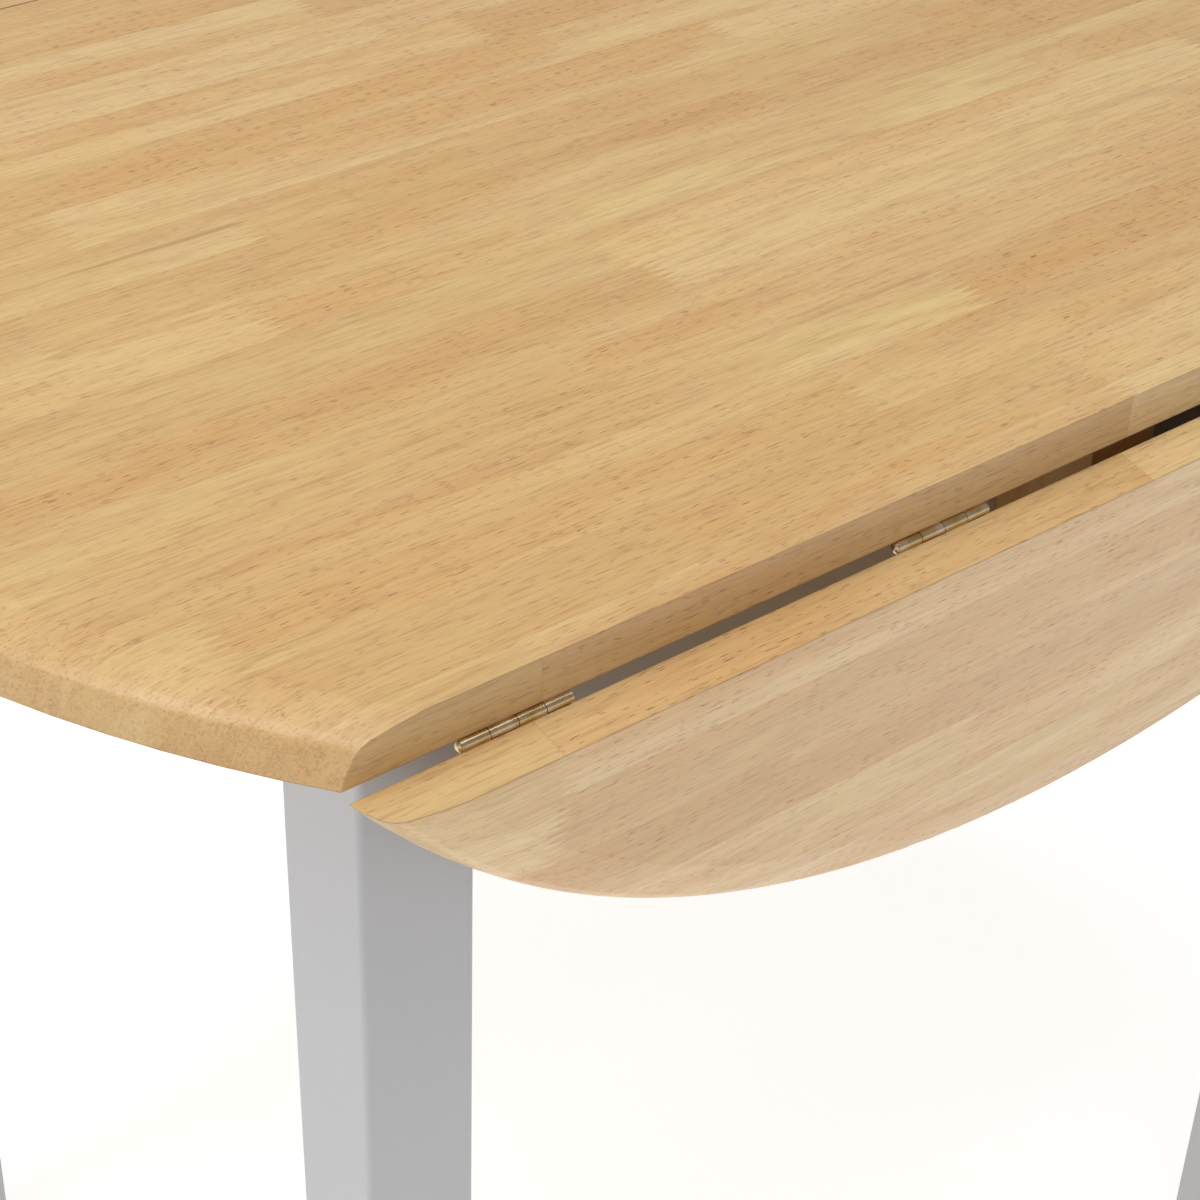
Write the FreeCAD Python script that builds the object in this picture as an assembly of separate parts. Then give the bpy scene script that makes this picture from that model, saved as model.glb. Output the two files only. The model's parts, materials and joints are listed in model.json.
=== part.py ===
import FreeCAD, Part
import math
import os

from FreeCAD import Vector

# Round gateleg table with two drop leaves, in millimetres.
# X runs along the leaf joints, +Z is up, and the near leaf hangs on the -Y side.
# The far leaf is raised and rests on its opened gate.

# ---- Driving dimensions -------------------------------------------------------------------

# Round top, sawn into a fixed middle and two leaves
top_radius = 508.0
fixed_width = 609.6
top_thick = 19.05
table_height = 750.0
joint_gap = 1.2
leaf_swing = 101.0          # degrees between a level leaf and one that hangs free

# Moulded rim: a shallow fall, a tight round-over and a nearly upright side
rim_fall_width = 27.0
rim_shoulder_in = 9.5
rim_shoulder_drop = 3.0
rim_side_in = 4.0
rim_side_drop = 8.2
rim_bulges = (0.3, 0.75, 0.4)

# Backflap hinges
barrel_radius = 2.4
barrel_drop = 2.5          # hinge axis below the underside of the top
hinge_length = 48.6
knuckle_count = 4
knuckle_gap = 0.3
flap_thick = 1.5
flap_reach = 28.0
flap_to_barrel = 0.5
hinge_pin_radius = 1.2
pin_head_thick = 1.3
hinge_end_margin = 71.8    # end of the joint line to the outer hinge's middle
hinge_spacing = 205.5
flap_screw_places = ((-16.0, 13.0), (0.0, 21.0), (16.0, 13.0))

# Legs
leg_size = 52.0
leg_rim_inset = 50.0       # rim to the leg's outer corner
leg_taper_x = 2.0
leg_taper_y = 6.0
leg_round = 2.5

# Aprons
apron_height = 100.0
apron_thick = 20.0
apron_setback = 27.5       # leg's outer face to the apron's outer face
dowel_radius = 4.0
dowel_length = 40.0
dowel_drops_long = (24.0, 64.0)
dowel_drops_short = (40.0, 80.0)

# Blocks glued inside the frame, which take the screws into the top
corner_block_side = 78.0
block_height = 28.0
top_block_length = 60.0
top_block_depth = 26.0
top_block_x = 175.0
top_screw_length = 42.0

# Gates
post_size = 38.0
post_leaf_gap = 3.2        # hanging leaf to the closed post's outer face
post_apron_gap = 1.0       # closed post's inner face to the apron
post_share = 0.45          # of the top's radius, from the middle to the closed post's near edge
post_rim_inset = 33.0      # rim to the opened post's middle
post_round = 3.0
gate_opening = 48.0        # degrees
rail_thick = 22.0
rail_height = 46.0
rail_drop = 52.0           # underside of the top to the rail's upper edge
tenon_length = 24.0
tenon_thick = 9.0
tenon_shoulder = 6.0
tongue_height = 24.0
tongue_drop = 63.0
pivot_block_width = 38.0
pivot_block_inset = 19.0   # joint line to the block's outer face
gate_pin_radius = 4.0
gate_pin_head_radius = 7.0
gate_pin_head_thick = 3.0
gate_pin_grip = 24.0       # length held in the block above the tongue
washer_radius = 10.0
washer_thick = 1.0
block_screw_length = 38.0
block_screw_edge = 7.0
block_screw_drops = (20.0, 93.5)

# Stops under the leaves
stop_width = 20.0
stop_length = 34.0
stop_height = 14.0
stop_overlap = 3.0         # the stop ends this far outside the opened post's middle
stop_screw_length = 24.0
stop_screw_spacing = 18.0

# Glides under the feet
glide_radius = 11.0
glide_thick = 4.0
nail_radius = 1.25
nail_length = 16.0

# Screws: shank radius and head radius, with a cross recess in the head
flap_screw = (1.75, 3.2)
frame_screw = (2.25, 4.3)
flap_screw_length = 16.0
recess_reach = 0.6         # of the head radius
recess_width = 0.28        # of the head radius
recess_depth = 0.5         # of the head radius

# Clearances
glue_fit = 0.05            # radial, screws, dowels and nails in their holes
pin_fit = 0.05             # radial, where a piece turns on a pin
tenon_fit = 0.1
rest_gap = 0.3             # between a piece and what it only rests against
running_gap = 0.1          # each face of a tongue that turns between washers
sweep_gap = 1.5            # round the corners that a gate swings past

# ---- Derived places ------------------------------------------------------------------------

half_width = fixed_width / 2
underside = table_height - top_thick
half_chord = math.sqrt(top_radius**2 - half_width**2)

axis_y = -(half_width + joint_gap / 2)
axis_z = underside - barrel_drop
hinge_outer_x = half_chord - hinge_end_margin
hinge_inner_x = hinge_outer_x - hinge_spacing
hinge_places = (-hinge_outer_x, -hinge_inner_x, hinge_inner_x, hinge_outer_x)

# A hanging leaf leans in under the top. The closed post stands just behind it, and the
# near legs and apron stand back from the post.
lean = math.radians(leaf_swing - 90)
leaf_depth = math.sqrt(top_radius**2 - (post_share * top_radius)**2) - half_width
leaf_inset = (leaf_depth - joint_gap / 2) * math.sin(lean) - barrel_drop * math.cos(lean) - joint_gap / 2
post_joint_inset = leaf_inset + post_leaf_gap
leg_joint_inset = post_joint_inset + post_size + post_apron_gap - apron_setback

leg_y = half_width - leg_joint_inset
leg_x = math.sqrt((top_radius - leg_rim_inset)**2 - leg_y**2)
apron_foot = underside - apron_height
apron_outer_y = leg_y - apron_setback
apron_inner_y = apron_outer_y - apron_thick
apron_outer_x = leg_x - apron_setback
apron_inner_x = apron_outer_x - apron_thick

pivot_y = -(half_width - post_joint_inset - post_size / 2)
opening = math.radians(gate_opening)
post_reach = top_radius - post_rim_inset
gate_arm = pivot_y * math.sin(opening) + math.sqrt(post_reach**2 - (pivot_y * math.cos(opening))**2)
pivot_block_front = -(half_width - pivot_block_inset)
rail_top = underside - rail_drop
tongue_top = underside - tongue_drop
tongue_foot = tongue_top - tongue_height
slot_top = tongue_top + running_gap + washer_thick
slot_foot = tongue_foot - running_gap - washer_thick
rail_shoulder = math.hypot(pivot_block_width / 2, pivot_y - pivot_block_front) + sweep_gap

# The origin is on the floor, under the middle of the box around the table as it stands.
swing = math.radians(leaf_swing)
hanging_front = (top_thick + barrel_drop) * math.sin(swing) + joint_gap / 2 * math.cos(swing) - axis_y
origin_y = (top_radius - hanging_front) / 2

# ---- Helpers -------------------------------------------------------------------------------


def box(x_range, y_range, z_range):
    """A box between the given limits, which may come in either order."""
    lows = [min(limits) for limits in (x_range, y_range, z_range)]
    sides = [abs(limits[1] - limits[0]) for limits in (x_range, y_range, z_range)]
    return Part.makeBox(sides[0], sides[1], sides[2], Vector(*lows))


def rod(radius, start, end):
    """A round bar between two points."""
    path = end - start
    return Part.makeCylinder(radius, path.Length, start, path)


def lathe(outline):
    """The outline of (radius, height) points, turned round the Z axis."""
    points = [Vector(radius, 0, height) for radius, height in outline]
    face = Part.Face(Part.makePolygon(points + [points[0]]))
    return face.revolve(Vector(0, 0, 0), Vector(0, 0, 1), 360)


def aimed(shape, at, direction):
    """A piece made along the Z axis, moved to a point and aimed along a direction."""
    shape.Placement = FreeCAD.Placement(at, FreeCAD.Rotation(Vector(0, 0, 1), direction))
    return shape


def screw(size, length, at, direction):
    """A countersunk wood screw whose head lies flush at a point."""
    shank, head = size
    outline = [(0, 0), (head, 0), (shank, head - shank), (shank, length - 2 * shank), (0, length)]
    reach, half = head * recess_reach, head * recess_width / 2
    depth = (-1, head * recess_depth)
    recess = box((-reach, reach), (-half, half), depth).fuse(box((-half, half), (-reach, reach), depth))
    return aimed(lathe(outline).cut(recess), at, direction)


def screw_hole(size, length, at, direction):
    """The hole for such a screw, open above its head."""
    shank, head = size[0] + glue_fit, size[1] + glue_fit
    end = length + glue_fit
    outline = [(0, -1), (head, -1), (head, 0), (shank, head - shank), (shank, end), (0, end)]
    return aimed(lathe(outline), at, direction)


def rounded_frame(x_range, y_range, z, radius):
    """A closed rectangle with round corners, level at height z."""
    (x0, x1), (y0, y1) = sorted(x_range), sorted(y_range)
    centres = [
        (x1 - radius, y1 - radius),
        (x0 + radius, y1 - radius),
        (x0 + radius, y0 + radius),
        (x1 - radius, y0 + radius),
    ]
    arcs = []
    for index, (x, y) in enumerate(centres):
        circle = Part.Circle(Vector(x, y, z), Vector(0, 0, 1), radius)
        start = index * math.pi / 2
        arcs.append(Part.ArcOfCircle(circle, start, start + math.pi / 2).toShape())
    edges = []
    for index, arc in enumerate(arcs):
        following = arcs[(index + 1) % len(arcs)]
        edges.append(arc)
        edges.append(Part.makeLine(arc.Vertexes[-1].Point, following.Vertexes[0].Point))
    return Part.Wire(edges)


def mirrored(shape):
    """The same piece on the other side of the table's middle plane along X."""
    return shape.mirror(Vector(0, 0, 0), Vector(0, 1, 0))


def cut_all(shape, cutters):
    return shape.cut(Part.makeCompound(cutters)) if cutters else shape


def hang(shape):
    """Swings a level near leaf's piece down about the hinge axis."""
    turned = shape.copy()
    turned.rotate(Vector(0, axis_y, axis_z), Vector(1, 0, 0), leaf_swing)
    return turned


def open_far_gate(shape):
    """Swings a closed far gate's piece out under the raised leaf."""
    turned = shape.copy()
    turned.rotate(Vector(0, -pivot_y, 0), Vector(0, 0, 1), gate_opening)
    return turned


# ---- Round top -----------------------------------------------------------------------------


def bulged_arc(start, end, bulge):
    """An arc between two points of the X-Z plane that stands out from its chord."""
    chord = end - start
    outward = Vector(-chord.z, 0, chord.x).normalize()
    return Part.Arc(start, (start + end) / 2 + outward * bulge, end).toShape()


def round_top():
    """The whole disc with its moulded rim, before it is sawn at the joints."""
    middle_top = Vector(0, 0, table_height)
    fall = Vector(top_radius - rim_fall_width, 0, table_height)
    shoulder = Vector(top_radius - rim_shoulder_in, 0, table_height - rim_shoulder_drop)
    side = Vector(top_radius - rim_side_in, 0, table_height - rim_side_drop)
    foot = Vector(top_radius, 0, underside)
    middle_foot = Vector(0, 0, underside)
    rim = [fall, shoulder, side, foot]
    edges = [Part.makeLine(middle_top, fall)]
    for start, end, bulge in zip(rim, rim[1:], rim_bulges):
        edges.append(bulged_arc(start, end, bulge))
    edges.append(Part.makeLine(foot, middle_foot))
    edges.append(Part.makeLine(middle_foot, middle_top))
    face = Part.Face(Part.Wire(edges))
    return face.revolve(Vector(0, 0, 0), Vector(0, 0, 1), 360)


def sawn(disc, y_range):
    across = (-top_radius - 1, top_radius + 1)
    return disc.common(box(across, y_range, (underside - 1, table_height + 1)))


# ---- Hinges --------------------------------------------------------------------------------


def knuckle_span(index):
    """The X limits of one knuckle, counted from the -X end of a hinge."""
    pitch = hinge_length / knuckle_count
    start = index * pitch - hinge_length / 2
    return start + knuckle_gap / 2, start + pitch - knuckle_gap / 2


def hinge_flap(side, own_knuckles, bore_radius):
    """A flap on the +Y or -Y side of its barrel, with its own knuckles, axis on X."""
    plate_top = barrel_drop
    plate_foot = barrel_drop - flap_thick
    clear = barrel_radius + flap_to_barrel
    half = hinge_length / 2
    flap = box((-half, half), (side * clear, side * flap_reach), (plate_foot, plate_top))
    for index in own_knuckles:
        start, end = knuckle_span(index)
        tab = box((start, end), (0, side * clear), (plate_foot, plate_top))
        barrel = rod(barrel_radius, Vector(start, 0, 0), Vector(end, 0, 0))
        flap = flap.fuse([tab, barrel])
    bore = rod(bore_radius, Vector(-hinge_length, 0, 0), Vector(hinge_length, 0, 0))
    return flap.cut(bore).removeSplitter()


def hinge_pin():
    """A straight pin with a domed head at its -X end."""
    start = -hinge_length / 2
    pin = rod(hinge_pin_radius, Vector(start, 0, 0), Vector(-start, 0, 0))
    dome_radius = (barrel_radius**2 + pin_head_thick**2) / (2 * pin_head_thick)
    dome = Part.makeSphere(dome_radius, Vector(start + dome_radius - pin_head_thick, 0, 0))
    reach = 2 * barrel_radius
    dome = dome.common(box((start - reach, start), (-reach, reach), (-reach, reach)))
    return pin.fuse(dome).removeSplitter()


def at_hinges(shape):
    """Copies of a hinge piece at every hinge of the near joint."""
    copies = []
    for x in hinge_places:
        copy = shape.copy()
        copy.translate(Vector(x, axis_y, axis_z))
        copies.append(copy)
    return copies


def flap_screws(side, make):
    """Screws, or their holes, for the flaps on one side of the near joint."""
    head_z = axis_z + barrel_drop - flap_thick
    made = []
    for hinge_x in hinge_places:
        for x, reach in flap_screw_places:
            at = Vector(hinge_x + x, axis_y + side * reach, head_z)
            made.append(make(flap_screw, flap_screw_length, at, Vector(0, 0, 1)))
    return made


# ---- Frame ---------------------------------------------------------------------------------


def dowels():
    """Dowels between each apron's ends and the legs, staggered so that they miss each other."""
    made = []
    half = dowel_length / 2
    long_y = (apron_outer_y + apron_inner_y) / 2
    short_x = (apron_outer_x + apron_inner_x) / 2
    for side_x in (-1, 1):
        for side_y in (-1, 1):
            shoulder_x = side_x * (leg_x - leg_size)
            shoulder_y = side_y * (leg_y - leg_size)
            for drop in dowel_drops_long:
                middle = Vector(shoulder_x, side_y * long_y, underside - drop)
                made.append((middle - Vector(half, 0, 0), middle + Vector(half, 0, 0)))
            for drop in dowel_drops_short:
                middle = Vector(side_x * short_x, shoulder_y, underside - drop)
                made.append((middle - Vector(0, half, 0), middle + Vector(0, half, 0)))
    return made


def tapered_leg(side_x, side_y):
    """A square leg, upright on its two outer faces and tapered on the inner two."""
    outer_x, outer_y = side_x * leg_x, side_y * leg_y
    inner_x, inner_y = outer_x - side_x * leg_size, outer_y - side_y * leg_size
    toe_x, toe_y = inner_x + side_x * leg_taper_x, inner_y + side_y * leg_taper_y
    taper_top = apron_foot
    toe = rounded_frame((outer_x, toe_x), (outer_y, toe_y), glide_thick, leg_round)
    knee = rounded_frame((outer_x, inner_x), (outer_y, inner_y), taper_top, leg_round)
    lower = Part.makeLoft([toe, knee], True, True)
    upper = Part.Face(knee).extrude(Vector(0, 0, underside - taper_top))
    return lower.fuse(upper)


def leg_foot(side_x, side_y):
    """The middle of a leg's foot on the floor."""
    return Vector(
        side_x * (leg_x - (leg_size - leg_taper_x) / 2),
        side_y * (leg_y - (leg_size - leg_taper_y) / 2),
        0,
    )


def glide(foot):
    """A plastic disc with a nail, under a foot."""
    disc = rod(glide_radius, foot, foot + Vector(0, 0, glide_thick))
    return disc.fuse(rod(nail_radius, foot, foot + Vector(0, 0, glide_thick + nail_length)))


def nail_hole(foot):
    start = foot + Vector(0, 0, glide_thick)
    return rod(nail_radius + glue_fit, start, start + Vector(0, 0, nail_length + glue_fit))


def corner_block(side_x, side_y):
    """A glued corner block, notched round the leg that stands proud of the aprons inside."""
    x, y = side_x * apron_inner_x, side_y * apron_inner_y
    foot_z = underside - block_height
    corners = [
        Vector(x, y, foot_z),
        Vector(x - side_x * corner_block_side, y, foot_z),
        Vector(x, y - side_y * corner_block_side, foot_z),
    ]
    face = Part.Face(Part.makePolygon(corners + [corners[0]]))
    block = face.extrude(Vector(0, 0, block_height))
    leg_inner_x = side_x * (leg_x - leg_size)
    leg_inner_y = side_y * (leg_y - leg_size)
    notch = box((x, leg_inner_x), (y, leg_inner_y), (foot_z - 1, underside + 1))
    return block.cut(notch)


def top_block(side_x, side_y):
    """A glued block in the middle stretch of a long apron."""
    middle = side_x * top_block_x
    near_face = side_y * apron_inner_y
    return box(
        (middle - top_block_length / 2, middle + top_block_length / 2),
        (near_face, near_face - side_y * top_block_depth),
        (underside - block_height, underside),
    )


def top_screws(make):
    """Screws, or their holes, up through every block into the fixed top."""
    third = corner_block_side / 3
    made = []
    for side_x in (-1, 1):
        for side_y in (-1, 1):
            corner = (side_x * (apron_inner_x - third), side_y * (apron_inner_y - third))
            along = (side_x * top_block_x, side_y * (apron_inner_y - top_block_depth / 2))
            for x, y in (corner, along):
                at = Vector(x, y, underside - block_height)
                made.append(make(frame_screw, top_screw_length, at, Vector(0, 0, 1)))
    return made


# ---- Gates, built closed on the near side ----------------------------------------------------


def pivot_block():
    """The block on the apron that a gate turns in, slotted for the rail's tongue."""
    half = pivot_block_width / 2
    block = box((-half, half), (pivot_block_front, -apron_outer_y), (apron_foot, underside))
    slot_back = pivot_y + rail_thick / 2 + sweep_gap
    slot = box((-half - 1, half + 1), (pivot_block_front - 1, slot_back), (slot_foot, slot_top))
    bore = rod(gate_pin_radius + glue_fit, Vector(0, pivot_y, apron_foot - 1), gate_pin_tip())
    return cut_all(block, [slot, bore])


def gate_pin_tip():
    return Vector(0, pivot_y, slot_top + gate_pin_grip)


def gate_pin():
    """A steel pin driven up through the block, with its head under the block."""
    under = Vector(0, pivot_y, apron_foot)
    head_foot = under - Vector(0, 0, gate_pin_head_thick)
    tip = gate_pin_tip() - Vector(0, 0, glue_fit)
    return rod(gate_pin_head_radius, head_foot, under).fuse(rod(gate_pin_radius, under, tip))


def gate_washers():
    """One washer on each side of the tongue, inside the slot."""
    made = []
    for foot_z in (slot_foot, slot_top - washer_thick):
        start = Vector(0, pivot_y, foot_z)
        end = start + Vector(0, 0, washer_thick)
        made.append(rod(washer_radius, start, end).cut(rod(gate_pin_radius + pin_fit, start, end)))
    return made


def pivot_block_screws(make):
    """Screws, or their holes, through the apron into the block."""
    across = pivot_block_width / 2 - block_screw_edge
    made = []
    for x in (-across, across):
        for drop in block_screw_drops:
            at = Vector(x, -apron_inner_y, underside - drop)
            made.append(make(frame_screw, block_screw_length, at, Vector(0, -1, 0)))
    return made


def gate_rail():
    """The rail from the pivot to the gate's leg, with a turned tongue and a tenon."""
    half = rail_thick / 2
    face_x = gate_arm - post_size / 2
    sides = (pivot_y - half, pivot_y + half)
    body = box((rail_shoulder, face_x), sides, (rail_top - rail_height, rail_top))
    tongue = box((0, rail_shoulder), sides, (tongue_foot, tongue_top))
    round_end = rod(half, Vector(0, pivot_y, tongue_foot), Vector(0, pivot_y, tongue_top))
    rail = body.fuse([tongue, round_end, tenon(0)])
    start = Vector(0, pivot_y, tongue_foot - 1)
    bore = rod(gate_pin_radius + pin_fit, start, Vector(0, pivot_y, tongue_top + 1))
    return rail.cut(bore).removeSplitter()


def tenon(fit):
    """The rail's tenon, or with a fit the mortise round it."""
    face_x = gate_arm - post_size / 2
    half = tenon_thick / 2 + fit
    foot_z = rail_top - rail_height + tenon_shoulder - fit
    top_z = rail_top - tenon_shoulder + fit
    return box((face_x, face_x + tenon_length + fit), (pivot_y - half, pivot_y + half), (foot_z, top_z))


def gate_post():
    """The gate's leg, which just clears the tops that it swings under."""
    half = post_size / 2
    frame = rounded_frame(
        (gate_arm - half, gate_arm + half), (pivot_y - half, pivot_y + half), glide_thick, post_round
    )
    length = underside - rest_gap - glide_thick
    post = Part.Face(frame).extrude(Vector(0, 0, length))
    return cut_all(post, [tenon(tenon_fit), nail_hole(gate_foot())])


def gate_foot():
    return Vector(gate_arm, pivot_y, 0)


# ---- Stops, built under the level near leaf --------------------------------------------------


def at_stop(shape):
    """Puts a piece made beside a closed gate's post where it stops the opened post."""
    placed = shape.copy()
    placed.rotate(Vector(0, pivot_y, 0), Vector(0, 0, 1), -gate_opening)
    return placed


def leaf_stop():
    """A block that the opening post meets side-on."""
    end_x = gate_arm + stop_overlap
    face_y = pivot_y - post_size / 2 - rest_gap
    heights = (underside - stop_height, underside)
    return at_stop(box((end_x - stop_length, end_x), (face_y, face_y - stop_width), heights))


def stop_screws(make):
    """Screws, or their holes, up through the stop into the leaf."""
    middle_x = gate_arm + stop_overlap - stop_length / 2
    middle_y = pivot_y - post_size / 2 - rest_gap - stop_width / 2
    made = []
    for offset in (-stop_screw_spacing / 2, stop_screw_spacing / 2):
        at = Vector(middle_x + offset, middle_y, underside - stop_height)
        made.append(at_stop(make(frame_screw, stop_screw_length, at, Vector(0, 0, 1))))
    return made


# ---- Assembly ------------------------------------------------------------------------------

parts = {}
corners = [(side_x, side_y) for side_x in (-1, 1) for side_y in (-1, 1)]
side_names = {(-1, -1): "near_left", (1, -1): "near_right", (-1, 1): "far_left", (1, 1): "far_right"}

# Top
disc = round_top()
near_fixed_holes = flap_screws(1, screw_hole)
far_fixed_holes = [mirrored(hole) for hole in near_fixed_holes]
fixed_top = sawn(disc, (-half_width, half_width))
parts["fixed_top"] = cut_all(fixed_top, near_fixed_holes + far_fixed_holes + top_screws(screw_hole))
leaf = sawn(disc, (-half_width - joint_gap, -top_radius - 1))
leaf = cut_all(leaf, flap_screws(-1, screw_hole) + stop_screws(screw_hole))

# What moves with a leaf, built level on the near side
leaf_flap = hinge_flap(-1, (0, 2), hinge_pin_radius + pin_fit)
leaf_pieces = {
    "leaf": leaf,
    "hinge_leaf_flaps": cut_all(Part.makeCompound(at_hinges(leaf_flap)), flap_screws(-1, screw_hole)),
    "hinge_leaf_screws": Part.makeCompound(flap_screws(-1, screw)),
    "leaf_stop": cut_all(leaf_stop(), stop_screws(screw_hole)),
    "leaf_stop_screws": Part.makeCompound(stop_screws(screw)),
}
for name, shape in leaf_pieces.items():
    parts["near_" + name] = hang(shape)
    parts["far_" + name] = mirrored(shape)

# What moves with a gate, built closed on the near side
gate_pieces = {
    "gate_rail": gate_rail(),
    "gate_post": gate_post(),
    "gate_glide": glide(gate_foot()),
}
for name, shape in gate_pieces.items():
    parts["near_" + name] = shape
    parts["far_" + name] = open_far_gate(mirrored(shape))

# What stays still, built on the near side
fixed_flap = hinge_flap(1, (1, 3), hinge_pin_radius + glue_fit)
block_holes = pivot_block_screws(screw_hole)
fixed_pieces = {
    "hinge_fixed_flaps": cut_all(Part.makeCompound(at_hinges(fixed_flap)), near_fixed_holes),
    "hinge_fixed_screws": Part.makeCompound(flap_screws(1, screw)),
    "hinge_pins": Part.makeCompound(at_hinges(hinge_pin())),
    "gate_pivot_block": cut_all(pivot_block(), block_holes),
    "gate_block_screws": Part.makeCompound(pivot_block_screws(screw)),
    "gate_pin": gate_pin(),
    "gate_washers": Part.makeCompound(gate_washers()),
}
for name, shape in fixed_pieces.items():
    parts["near_" + name] = shape
    parts["far_" + name] = mirrored(shape)

# Frame
dowel_ends = dowels()
dowel_holes = [rod(dowel_radius + glue_fit, start, end) for start, end in dowel_ends]
parts["apron_dowels"] = Part.makeCompound([rod(dowel_radius, start, end) for start, end in dowel_ends])
leg_inner_x, leg_inner_y = leg_x - leg_size, leg_y - leg_size
apron_heights = (apron_foot, underside)
near_apron = box((-leg_inner_x, leg_inner_x), (-apron_outer_y, -apron_inner_y), apron_heights)
near_apron = cut_all(near_apron, dowel_holes + block_holes)
parts["near_apron"] = near_apron
parts["far_apron"] = mirrored(near_apron)
for name, side in (("left_apron", -1), ("right_apron", 1)):
    span = (side * apron_outer_x, side * apron_inner_x)
    parts[name] = cut_all(box(span, (-leg_inner_y, leg_inner_y), apron_heights), dowel_holes)
for side_x, side_y in corners:
    leg = cut_all(tapered_leg(side_x, side_y), dowel_holes + [nail_hole(leg_foot(side_x, side_y))])
    parts[side_names[side_x, side_y] + "_leg"] = leg
block_screw_holes = top_screws(screw_hole)
parts["corner_blocks"] = cut_all(
    Part.makeCompound([corner_block(side_x, side_y) for side_x, side_y in corners]), block_screw_holes
)
parts["top_blocks"] = cut_all(
    Part.makeCompound([top_block(side_x, side_y) for side_x, side_y in corners]), block_screw_holes
)
parts["top_screws"] = Part.makeCompound(top_screws(screw))
parts["leg_glides"] = Part.makeCompound([glide(leg_foot(side_x, side_y)) for side_x, side_y in corners])

os.makedirs("parts", exist_ok=True)
for name, shape in parts.items():
    shape.translate(Vector(0, -origin_y, 0))
    shape.exportStep(f"parts/{name}.step")

print(f"{len(parts)} sub-parts, origin_y {origin_y:.4f}")
print(f"leaf hinge axes: y {axis_y - origin_y:.4f} and {-axis_y - origin_y:.4f}, z {axis_z:.4f}")
print(f"gate pivots: y {pivot_y - origin_y:.4f} and {-pivot_y - origin_y:.4f}, arm {gate_arm:.3f}")
print(f"leaf lift until the edges meet: {math.degrees(math.asin(joint_gap / (top_thick + barrel_drop))):.3f} deg")
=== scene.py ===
import json
import math

import bpy
from mathutils import Matrix, Vector


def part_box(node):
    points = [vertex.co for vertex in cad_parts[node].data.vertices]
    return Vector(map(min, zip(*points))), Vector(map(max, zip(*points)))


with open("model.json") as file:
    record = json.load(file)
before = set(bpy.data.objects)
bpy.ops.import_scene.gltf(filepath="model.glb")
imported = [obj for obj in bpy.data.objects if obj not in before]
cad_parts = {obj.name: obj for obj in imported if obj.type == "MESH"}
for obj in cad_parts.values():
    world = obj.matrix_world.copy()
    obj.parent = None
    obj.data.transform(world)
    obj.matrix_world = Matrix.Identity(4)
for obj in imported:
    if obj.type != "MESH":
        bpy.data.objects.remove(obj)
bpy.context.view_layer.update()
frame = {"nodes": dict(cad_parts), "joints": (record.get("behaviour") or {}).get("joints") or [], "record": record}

# ---- Sizes that the looks share with the frame, in metres ----------------------------------

top_low, top_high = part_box("fixed_top")
top_middle = Vector((0, (top_low.y + top_high.y) / 2, top_high.z))
joints = {joint["name"]: joint for joint in frame["joints"]}
leaf_hinge = joints["near_leaf_hinge"]
hinge_axis = Vector(leaf_hinge["pos_m"])
leaf_swing = math.radians(leaf_hinge["range_deg"][1])

# ---- Camera --------------------------------------------------------------------------------

SENSOR = 36.0                                # mm
LENS = 80.175                                # mm
EYE = Vector((-0.7818, -0.8859, 0.5382))     # from the middle of the top
AZIMUTH = math.radians(39.775)               # clockwise from +Y
TILT = math.radians(34.740)                  # downwards
ROLL = math.radians(1.944)
CLIP = (0.01, 60)


def make_camera():
    data = bpy.data.cameras.new("camera")
    data.sensor_width = SENSOR
    data.lens = LENS
    data.clip_start, data.clip_end = CLIP
    camera = bpy.data.objects.new("camera", data)
    forward = Vector((
        math.sin(AZIMUTH) * math.cos(TILT),
        math.cos(AZIMUTH) * math.cos(TILT),
        -math.sin(TILT),
    ))
    level = forward.cross(Vector((0, 0, 1))).normalized()
    upright = level.cross(forward)
    right = level * math.cos(ROLL) + upright * math.sin(ROLL)
    up = right.cross(forward)
    turn = Matrix((right, up, -forward)).transposed().to_4x4()
    camera.matrix_world = Matrix.Translation(top_middle + EYE) @ turn
    bpy.context.scene.collection.objects.link(camera)
    bpy.context.scene.camera = camera


# ---- Material writing ----------------------------------------------------------------------

BEVEL_SAMPLES = 6


def srgb(red, green, blue):
    """A colour given as 0 to 255 screen values, as the linear values that nodes use."""
    linear = []
    for value in (red, green, blue):
        value /= 255
        linear.append(value / 12.92 if value <= 0.04045 else ((value + 0.055) / 1.055) ** 2.4)
    return (*linear, 1)


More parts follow.
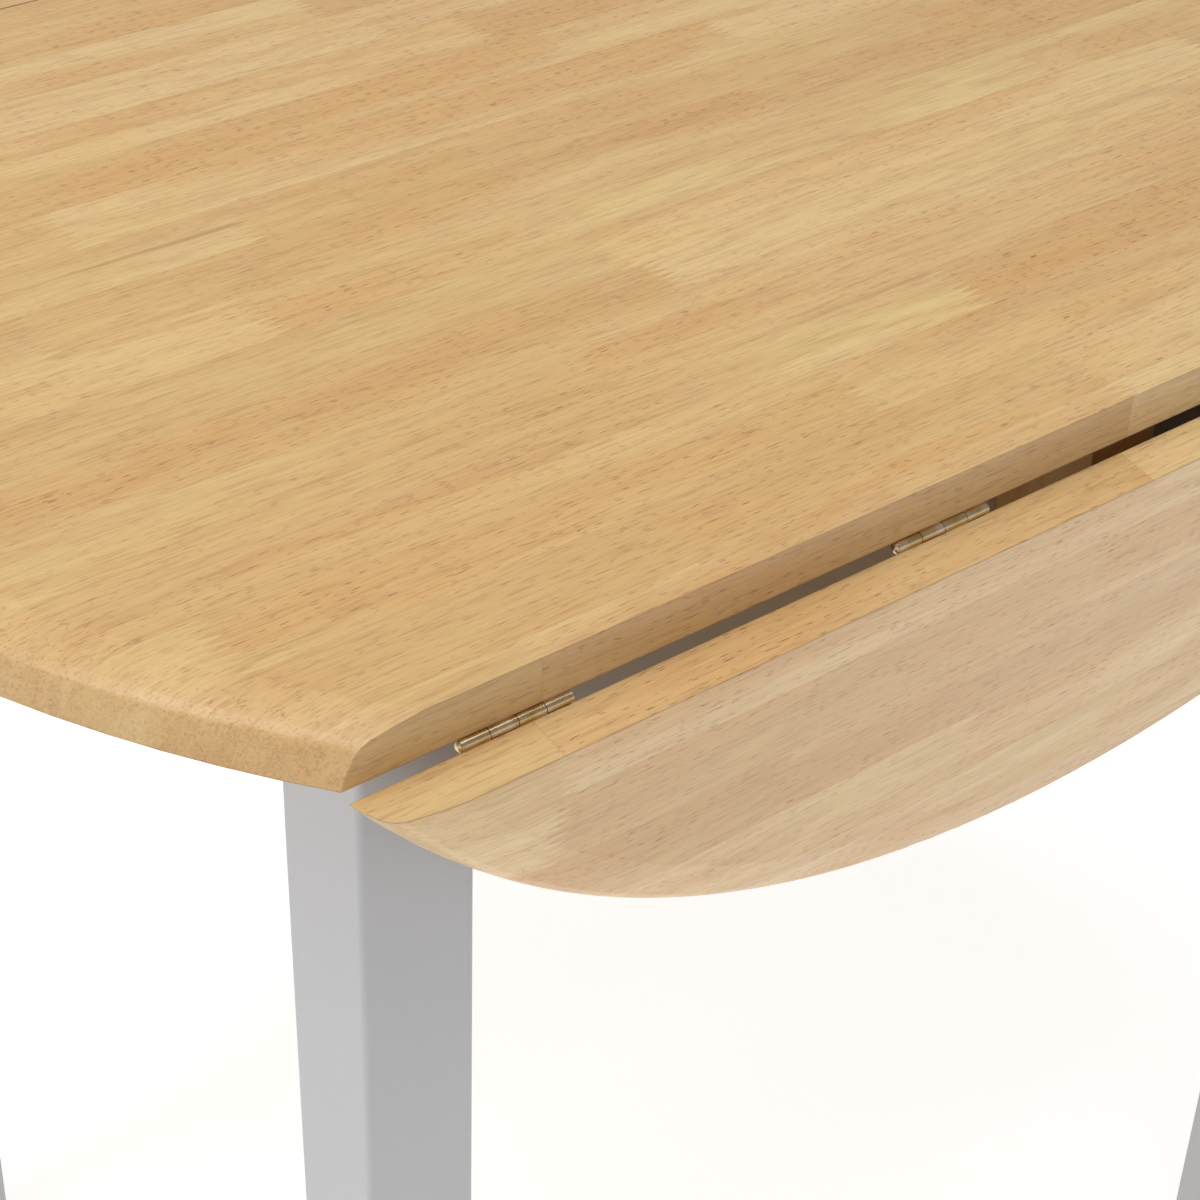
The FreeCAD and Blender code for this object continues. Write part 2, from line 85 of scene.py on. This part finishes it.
class Nodes:
    """A material and a short way to write its nodes."""

    def __init__(self, name):
        self.material = bpy.data.materials.new(name)
        self.material.use_nodes = True
        self.tree = self.material.node_tree
        self.tree.nodes.clear()

    def put(self, socket, value):
        """Links another node's output into the socket, or sets a plain value on it."""
        if isinstance(value, bpy.types.NodeSocket):
            self.tree.links.new(value, socket)
        else:
            socket.default_value = value

    def add(self, kind, inputs=(), **settings):
        node = self.tree.nodes.new(kind)
        for key, value in settings.items():
            setattr(node, key, value)
        for key, value in dict(inputs).items():
            self.put(node.inputs[key], value)
        return node

    def operate(self, kind, operation, values):
        node = self.add(kind, operation=operation)
        for socket, value in zip(node.inputs, values):
            self.put(socket, value)
        return node.outputs[0]

    def math(self, operation, *values):
        return self.operate("ShaderNodeMath", operation, values)

    def vector(self, operation, *values):
        return self.operate("ShaderNodeVectorMath", operation, values)

    def combine(self, x, y, z):
        return self.add("ShaderNodeCombineXYZ", {"X": x, "Y": y, "Z": z}).outputs[0]

    def separate(self, vector):
        return self.add("ShaderNodeSeparateXYZ", {"Vector": vector}).outputs

    def mix(self, factor, first, second):
        """Two colours mixed. The Mix node has sockets for each kind of data: these are the colour's."""
        node = self.add("ShaderNodeMix", data_type="RGBA")
        for index, value in ((0, factor), (6, first), (7, second)):
            self.put(node.inputs[index], value)
        return node.outputs[2]

    def between(self, value, low, high, out_low=0.0, out_high=1.0):
        """value taken from the range low..high to out_low..out_high, and kept inside it."""
        node = self.add("ShaderNodeMapRange", {"Value": value, "From Min": low, "From Max": high})
        node.inputs["To Min"].default_value = out_low
        node.inputs["To Max"].default_value = out_high
        return node.outputs[0]

    def from_middle(self, value):
        """How far value lies from the middle of the whole step that it is in, 0 to 0.5."""
        return self.math("ABSOLUTE", self.math("SUBTRACT", self.math("FRACT", value), 0.5))

    def noise(self, vector, scale, detail=3.0, roughness=0.5, distortion=0.0):
        inputs = {
            "Vector": vector,
            "Scale": scale,
            "Detail": detail,
            "Roughness": roughness,
            "Distortion": distortion,
        }
        return self.add("ShaderNodeTexNoise", inputs).outputs["Fac"]

    def ramp(self, value, stops):
        node = self.add("ShaderNodeValToRGB", {"Fac": value})
        elements = node.color_ramp.elements
        for index, (place, colour) in enumerate(stops):
            element = elements[index] if index < 2 else elements.new(place)
            element.position = place
            element.color = colour
        return node.outputs[0]

    def coordinates(self):
        return self.add("ShaderNodeTexCoord").outputs["Object"]

    def surface(self, inputs, height=None, depth=0.0, easing=0.0):
        """The shader, with a bump from height and softly eased edges where they are given."""
        shader = self.add("ShaderNodeBsdfPrincipled", inputs)
        normal = None
        if easing:
            bevel = self.add("ShaderNodeBevel", {"Radius": easing}, samples=BEVEL_SAMPLES)
            normal = bevel.outputs[0]
        if height is not None:
            bump = self.add("ShaderNodeBump", {"Height": height, "Distance": depth})
            if normal is not None:
                self.put(bump.inputs["Normal"], normal)
            normal = bump.outputs[0]
        if normal is not None:
            self.put(shader.inputs["Normal"], normal)
        output = self.add("ShaderNodeOutputMaterial")
        self.put(output.inputs["Surface"], shader.outputs[0])


# ---- Stage ---------------------------------------------------------------------------------

WHITE = (1.0, 1.0, 1.0, 1)
FLOOR_SIZE = 24.0
FLOOR_COLOUR = (0.9, 0.9, 0.9, 1)
FLOOR_GLOW_FROM = (-1.7, -0.5)      # the floor brightens between these, from the front backwards
FLOOR_GLOW = (0.38, 0.63)
SKY_FADE = (0.05, 0.42)             # height of a direction where the sky starts to dim and stops
SKY_STRENGTH = (0.82, 0.31)

# Each light's name, place, the point it faces, its two sides and its watts
LIGHTS = (
    ("overhead", (-0.4, -0.2, 3.2), (0, 0, 0.7), (2.4, 2.4), 56),
    ("rim_highlight", (-1.9, 0.1, 2.4), (-0.4, -0.3, 0.75), (0.7, 1.0), 8),
    ("left_front", (-3.4, -1.0, 1.7), (0, 0, 0.6), (2.2, 2.2), 5),
)


def area_light(name, place, aim, size, power):
    data = bpy.data.lights.new(name, "AREA")
    data.shape = "RECTANGLE"
    data.size, data.size_y = size
    data.energy = power
    light = bpy.data.objects.new(name, data)
    light.location = place
    light.rotation_euler = (Vector(aim) - Vector(place)).to_track_quat("-Z", "Y").to_euler()
    bpy.context.scene.collection.objects.link(light)


def make_sky():
    """A white surround that is bright near the horizon and dims overhead."""
    world = bpy.data.worlds.new("studio")
    world.use_nodes = True
    tree = world.node_tree
    background = tree.nodes["Background"]
    background.inputs["Color"].default_value = WHITE
    direction = tree.nodes.new("ShaderNodeTexCoord")
    parts = tree.nodes.new("ShaderNodeSeparateXYZ")
    fade = tree.nodes.new("ShaderNodeMapRange")
    tree.links.new(direction.outputs["Generated"], parts.inputs["Vector"])
    tree.links.new(parts.outputs["Z"], fade.inputs["Value"])
    tree.links.new(fade.outputs["Result"], background.inputs["Strength"])
    fade.interpolation_type = "SMOOTHSTEP"
    fade.inputs["From Min"].default_value, fade.inputs["From Max"].default_value = SKY_FADE
    fade.inputs["To Min"].default_value, fade.inputs["To Max"].default_value = SKY_STRENGTH
    return world


def pale_floor():
    """A white floor with a glow that keeps it as pale as the surround behind the table."""
    nodes = Nodes("floor")
    depth = nodes.separate(nodes.coordinates())[1]
    nodes.surface({
        "Base Color": FLOOR_COLOUR,
        "Roughness": 0.8,
        "Emission Color": WHITE,
        "Emission Strength": nodes.between(depth, *FLOOR_GLOW_FROM, *FLOOR_GLOW),
    })
    return nodes.material


def make_floor():
    half = FLOOR_SIZE / 2
    corners = [(-half, -half, 0), (half, -half, 0), (half, half, 0), (-half, half, 0)]
    mesh = bpy.data.meshes.new("floor")
    mesh.from_pydata(corners, [], [(0, 1, 2, 3)])
    mesh.materials.append(pale_floor())
    floor = bpy.data.objects.new("floor", mesh)
    bpy.context.scene.collection.objects.link(floor)


def make_stage():
    scene = bpy.context.scene
    scene.view_settings.view_transform = "Standard"
    scene.world = make_sky()
    for light in LIGHTS:
        area_light(*light)
    make_floor()


# ---- Wood: staves side by side along X, each of boards finger-jointed end to end -----------

STAVE_WIDTH = 0.038
STAVE_SEAM_Y = 0.0130           # joint edge of the fixed top to its first seam
BOARD_LENGTH = (0.26, 0.5)      # the shortest and the longest; one stave's boards are alike
STAVE_SHIFT = 7.0               # boards by which a stave may be shifted along X, at most
FINGER_PITCH = 0.0042
FINGER_LENGTH = 0.011
BOARD_OFFSET = (3.0, 3.0, 3.0)  # how far away a board may take its grain from, at most
PITH_SIDE = 0.05                # how far the pith may lie to either side of a board's edge
PITH_DEPTH = (0.015, 0.09)      # how deep the pith may lie under the top's face
PITH_SLOPE = 0.05               # drift of the pith to a metre of board, at most
RING_SCALE = 120.0
RING_SWAY = 0.035               # how far the rings may wander off round
PORE_CELL = (0.0080, 0.00062, 0.00062)
LONG_PORE_CELL = (0.030, 0.0013, 0.0013)

# Distance from the middle, in widths or lengths, where a glue line starts, and its strength
SEAM_LINE = (0.4955, 0.30)
FINGER_LINE = (0.4985, 0.22)

BOARD_TINTS = (
    (0.00, (216, 181, 123)),
    (0.20, (206, 168, 110)),
    (0.38, (216, 183, 126)),
    (0.55, (211, 175, 117)),
    (0.72, (201, 161, 105)),
    (0.86, (216, 184, 129)),
    (1.00, (209, 171, 114)),
)
PLAIN_TINT = (216, 180, 126)
PALE_WOOD = (222, 193, 141)
WARM_WOOD = (192, 148, 96)
ORANGE_WOOD = (206, 157, 95)
OLIVE_WOOD = (216, 191, 130)
PORE_BROWN = (128, 78, 42)
REACTION_BROWN = (146, 100, 62)
JOINT_FACE_BROWN = (160, 112, 66)
WOOD_RELIEF = 0.00012           # depth of the grain's bump
EASED_WOOD = 0.0012             # radius to which the shading eases an edge


def level_coordinates(nodes, hanging):
    """Object coordinates, turned back to the level leaf for the one that hangs."""
    place = nodes.coordinates()
    if hanging:
        back = Matrix.Rotation(-leaf_swing, 3, "X")
        mapping = nodes.add("ShaderNodeMapping", {"Vector": place})
        mapping.inputs["Rotation"].default_value = (-leaf_swing, 0, 0)
        mapping.inputs["Location"].default_value = hinge_axis - back @ hinge_axis
        place = mapping.outputs[0]
    return place


def lay_staves(nodes, place):
    """Counts of staves across and boards along, and a node with a board's random values."""
    x, y, _ = nodes.separate(place)
    across = nodes.math("SUBTRACT", y, top_low.y + STAVE_SEAM_Y)
    staves = nodes.math("DIVIDE", across, STAVE_WIDTH)
    stave = nodes.math("FLOOR", staves)
    stave_random = nodes.add("ShaderNodeTexWhiteNoise", {"W": stave}, noise_dimensions="1D")
    length_chance, shift_chance, _ = nodes.separate(stave_random.outputs["Color"])
    length = nodes.between(length_chance, 0, 1, *BOARD_LENGTH)
    fingers = nodes.math("PINGPONG", y, FINGER_PITCH / 2)
    fingers = nodes.math("MULTIPLY", fingers, 2 * FINGER_LENGTH / FINGER_PITCH)
    boards = nodes.math("DIVIDE", nodes.math("ADD", x, fingers), length)
    boards = nodes.math("ADD", boards, nodes.math("MULTIPLY", shift_chance, STAVE_SHIFT))
    board = nodes.combine(stave, nodes.math("FLOOR", boards), 0)
    return staves, boards, nodes.add("ShaderNodeTexWhiteNoise", {"Vector": board})


def glue_line(nodes, count, start, strength):
    return nodes.between(nodes.from_middle(count), start, 0.5, 0, strength)


def grain_noise(nodes, place, along, across, detail, roughness=0.5, distortion=0.0):
    """Noise drawn out along the grain, scaled by along in X and by across in Y and Z."""
    stretched = nodes.vector("MULTIPLY", place, (along, across, across))
    return nodes.noise(stretched, 1.0, detail, roughness, distortion)


def growth_rings(nodes, place, grain_place, staves, chances):
    """Rings round a pith line that lies off each board and runs a little askew to it."""
    x, _, z = nodes.separate(place)
    side_chance, depth_chance, slope_chance = nodes.separate(chances)
    pith_y = nodes.between(side_chance, 0, 1, -PITH_SIDE, PITH_SIDE)
    pith_z = nodes.between(depth_chance, 0, 1, *PITH_DEPTH)
    slope = nodes.between(slope_chance, 0, 1, -PITH_SLOPE, PITH_SLOPE)
    stave_y = nodes.math("MULTIPLY", nodes.math("FRACT", staves), STAVE_WIDTH)
    ring_y = nodes.math("SUBTRACT", nodes.math("MULTIPLY_ADD", x, slope, stave_y), pith_y)
    below = nodes.math("SUBTRACT", top_high.z, z)
    ring_z = nodes.math("SUBTRACT", nodes.math("MULTIPLY_ADD", x, slope, pith_z), below)
    squares = nodes.math("ADD", nodes.math("POWER", ring_y, 2), nodes.math("POWER", ring_z, 2))
    sway = grain_noise(nodes, grain_place, 7, 18, 2.0)
    radius = nodes.math("MULTIPLY_ADD", sway, RING_SWAY, nodes.math("SQRT", squares))
    inputs = {"W": radius, "Scale": RING_SCALE, "Detail": 1.5}
    return nodes.add("ShaderNodeTexNoise", inputs, noise_dimensions="1D").outputs["Fac"]


def pore_layer(nodes, place, cell, largest, share):
    """Vessels cut along their length: short dashes along X, one to a cell at most."""
    wander = nodes.math("MULTIPLY", nodes.noise(place, 90.0, 1.0), 0.9)
    stretched = nodes.vector("DIVIDE", place, cell)
    stretched = nodes.vector("ADD", stretched, nodes.combine(0, wander, 0))
    cells = nodes.add("ShaderNodeTexVoronoi", {"Vector": stretched, "Scale": 1.0, "Randomness": 1.0})
    chance = nodes.separate(cells.outputs["Color"])[0]
    size = nodes.between(chance, 1 - share, 1, 0.0, largest)
    return nodes.between(nodes.math("SUBTRACT", size, cells.outputs["Distance"]), 0.0, 0.07)


def joint_face_mask(nodes, place):
    """The fixed top's two joint faces, which are mixed darker and browner."""
    y = nodes.separate(place)[1]
    from_middle = nodes.math("ABSOLUTE", nodes.math("SUBTRACT", y, top_middle.y))
    inside = nodes.math("ABSOLUTE", nodes.math("SUBTRACT", from_middle, (top_high.y - top_low.y) / 2))
    return nodes.between(inside, 0.0004, 0.0001)


def rubberwood(name, hanging=False, jointed=True):
    """Rubberwood with its grain along X: lacquered and finger-jointed, or one plain piece."""
    nodes = Nodes(name)
    place = level_coordinates(nodes, hanging)
    staves, boards, board = lay_staves(nodes, place)
    chances = board.outputs["Color"]
    grain_place = nodes.vector("ADD", place, nodes.vector("MULTIPLY", chances, BOARD_OFFSET))

    rings = growth_rings(nodes, place, grain_place, staves, chances)
    bands = grain_noise(nodes, grain_place, 1.6, 34, 2.0, 0.45)
    patches = grain_noise(nodes, grain_place, 4, 21, 3.0, 0.55, 0.3)
    threads = grain_noise(nodes, grain_place, 14, 260, 3.0, 0.6)
    fibres = grain_noise(nodes, grain_place, 48, 900, 2.0, 0.6)
    streak = grain_noise(nodes, grain_place, 2.0, 130, 1.0)
    fine_pores = pore_layer(nodes, grain_place, PORE_CELL, 0.33, 0.8)
    long_pores = pore_layer(nodes, grain_place, LONG_PORE_CELL, 0.20, 0.7)
    crowd = nodes.between(patches, 0.34, 0.62, 0.25, 1.0)
    pore = nodes.math("MULTIPLY", nodes.math("MAXIMUM", fine_pores, long_pores), crowd)

    if jointed:
        stops = [(position, srgb(*tint)) for position, tint in BOARD_TINTS]
        colour = nodes.ramp(board.outputs["Value"], stops)
    else:
        colour = srgb(*PLAIN_TINT)
    # Each layer's pattern, the values where it starts and is full, its strength and its colour
    layers = (
        (patches, 0.48, 0.66, 0.70, ORANGE_WOOD),
        (patches, 0.46, 0.30, 0.70, OLIVE_WOOD),
        (bands, 0.48, 0.72, 0.38, WARM_WOOD),
        (bands, 0.48, 0.28, 0.40, PALE_WOOD),
        (rings, 0.48, 0.74, 0.36, WARM_WOOD),
        (threads, 0.50, 0.76, 0.48, WARM_WOOD),
        (fibres, 0.50, 0.76, 0.42, REACTION_BROWN),
        (fibres, 0.48, 0.25, 0.18, PALE_WOOD),
        (streak, 0.74, 0.84, 0.45, REACTION_BROWN),
    )
    for pattern, start, full, strength, tone in layers:
        colour = nodes.mix(nodes.between(pattern, start, full, 0, strength), colour, srgb(*tone))
    colour = nodes.mix(nodes.math("MULTIPLY", pore, 0.72), colour, srgb(*PORE_BROWN))
    if jointed:
        seams = glue_line(nodes, staves, *SEAM_LINE)
        fingers = glue_line(nodes, boards, *FINGER_LINE)
        colour = nodes.mix(nodes.math("MAXIMUM", seams, fingers), colour, srgb(*REACTION_BROWN))
        # The fixed top's joint faces are mixed a little darker and browner
        joint_face_share = nodes.math("MULTIPLY", joint_face_mask(nodes, place), 0.16)
        colour = nodes.mix(joint_face_share, colour, srgb(*JOINT_FACE_BROWN))
    facing = nodes.add("ShaderNodeNewGeometry").outputs["Normal"]
    end_grain = nodes.math("ABSOLUTE", nodes.separate(facing)[0])
    colour = nodes.mix(nodes.between(end_grain, 0.35, 0.95, 0, 0.16), colour, srgb(*REACTION_BROWN))

    height = nodes.math("MULTIPLY_ADD", pore, -1.0, nodes.math("MULTIPLY", fibres, 0.22))
    roughness = nodes.math("MULTIPLY_ADD", pore, 0.2, nodes.between(bands, 0.3, 0.7, 0.34, 0.44))
    inputs = {"Base Color": colour, "Roughness": roughness, "Specular IOR Level": 0.45}
    if jointed:
        inputs["Coat Weight"] = 0.30
        inputs["Coat Roughness"] = 0.22
    nodes.surface(inputs, height, WOOD_RELIEF, EASED_WOOD)
    return nodes.material


# ---- Paint, metal and plastic --------------------------------------------------------------

PAINT_SHADE = (181, 181, 183)
PAINT_LIGHT = (187, 187, 189)
PAINT_GRAIN = (174, 174, 174)
PAINT_RELIEF = 0.00005
EASED_PAINT = 0.0025            # radius to which the shading eases an edge
BRASS = (196, 162, 104)
WORN_BRASS = (216, 200, 172)
BROWNED_BRASS = (120, 90, 54)
BRASS_RELIEF = 0.00004
ZINC_SHADE = (176, 178, 182)
ZINC_LIGHT = (205, 205, 200)
ZINC_RELIEF = 0.00003
NYLON = (206, 203, 194)
DUSTY_NYLON = (176, 171, 160)
NYLON_RELIEF = 0.00004


def grey_paint():
    """Sprayed satin paint over wood: faint orange peel and a trace of grain under it."""
    nodes = Nodes("grey_paint")
    place = nodes.coordinates()
    cloud = nodes.noise(place, 9.0, 3.0)
    peel = nodes.noise(place, 900.0, 2.0)
    grain = nodes.noise(nodes.vector("MULTIPLY", place, (700, 700, 12)), 1.0, 2.0)
    colour = nodes.mix(cloud, srgb(*PAINT_SHADE), srgb(*PAINT_LIGHT))
    colour = nodes.mix(nodes.between(grain, 0.55, 0.8, 0, 0.12), colour, srgb(*PAINT_GRAIN))
    height = nodes.math("MULTIPLY_ADD", grain, 0.5, peel)
    roughness = nodes.between(peel, 0.3, 0.7, 0.42, 0.5)
    nodes.surface({"Base Color": colour, "Roughness": roughness}, height, PAINT_RELIEF, EASED_PAINT)
    return nodes.material


def aged_brass():
    """Brass with silvery worn patches and small brown spots."""
    nodes = Nodes("aged_brass")
    place = nodes.coordinates()
    worn = nodes.noise(place, 95.0, 4.0, 0.6)
    spots = nodes.noise(place, 600.0, 2.0)
    colour = nodes.mix(nodes.between(worn, 0.35, 0.65), srgb(*BRASS), srgb(*WORN_BRASS))
    colour = nodes.mix(nodes.between(spots, 0.62, 0.80, 0, 0.45), colour, srgb(*BROWNED_BRASS))
    roughness = nodes.between(worn, 0.3, 0.7, 0.16, 0.30)
    inputs = {"Base Color": colour, "Metallic": 1.0, "Roughness": roughness}
    nodes.surface(inputs, worn, BRASS_RELIEF)
    return nodes.material


def zinc_steel():
    """Zinc plate for the screws and the gate pins, slightly clouded."""
    nodes = Nodes("zinc_steel")
    patches = nodes.noise(nodes.coordinates(), 220.0, 3.0, 0.6)
    colour = nodes.mix(patches, srgb(*ZINC_SHADE), srgb(*ZINC_LIGHT))
    roughness = nodes.between(patches, 0.3, 0.7, 0.28, 0.45)
    inputs = {"Base Color": colour, "Metallic": 1.0, "Roughness": roughness}
    nodes.surface(inputs, patches, ZINC_RELIEF)
    return nodes.material


def moulded_nylon():
    """Off-white plastic for the glides and washers, with a fine moulded texture and some dust."""
    nodes = Nodes("moulded_nylon")
    place = nodes.coordinates()
    speckle = nodes.noise(place, 700.0, 2.0)
    dust = nodes.noise(place, 60.0, 3.0)
    colour = nodes.mix(nodes.between(dust, 0.4, 0.7, 0, 0.5), srgb(*NYLON), srgb(*DUSTY_NYLON))
    roughness = nodes.between(speckle, 0.3, 0.7, 0.5, 0.62)
    nodes.surface({"Base Color": colour, "Roughness": roughness}, speckle, NYLON_RELIEF)
    return nodes.material


# ---- The CAD pieces' finishes --------------------------------------------------------------


def finish_cad_pieces():
    hanging_board = rubberwood("rubberwood_hanging_leaf", hanging=True)
    finishes = {
        "natural_wood": rubberwood("rubberwood_boards"),
        "plain_wood": rubberwood("rubberwood_plain", jointed=False),
        "grey_paint": grey_paint(),
        "aged_brass": aged_brass(),
        "steel": zinc_steel(),
        "nylon": moulded_nylon(),
    }
    slots = {row["node"]: row["material_slot"] for row in frame["record"]["subparts"]}
    for name, node in frame["nodes"].items():
        material = hanging_board if name == "near_leaf" else finishes[slots[name]]
        for slot in node.material_slots:
            slot.material = material


make_camera()
make_stage()
finish_cad_pieces()
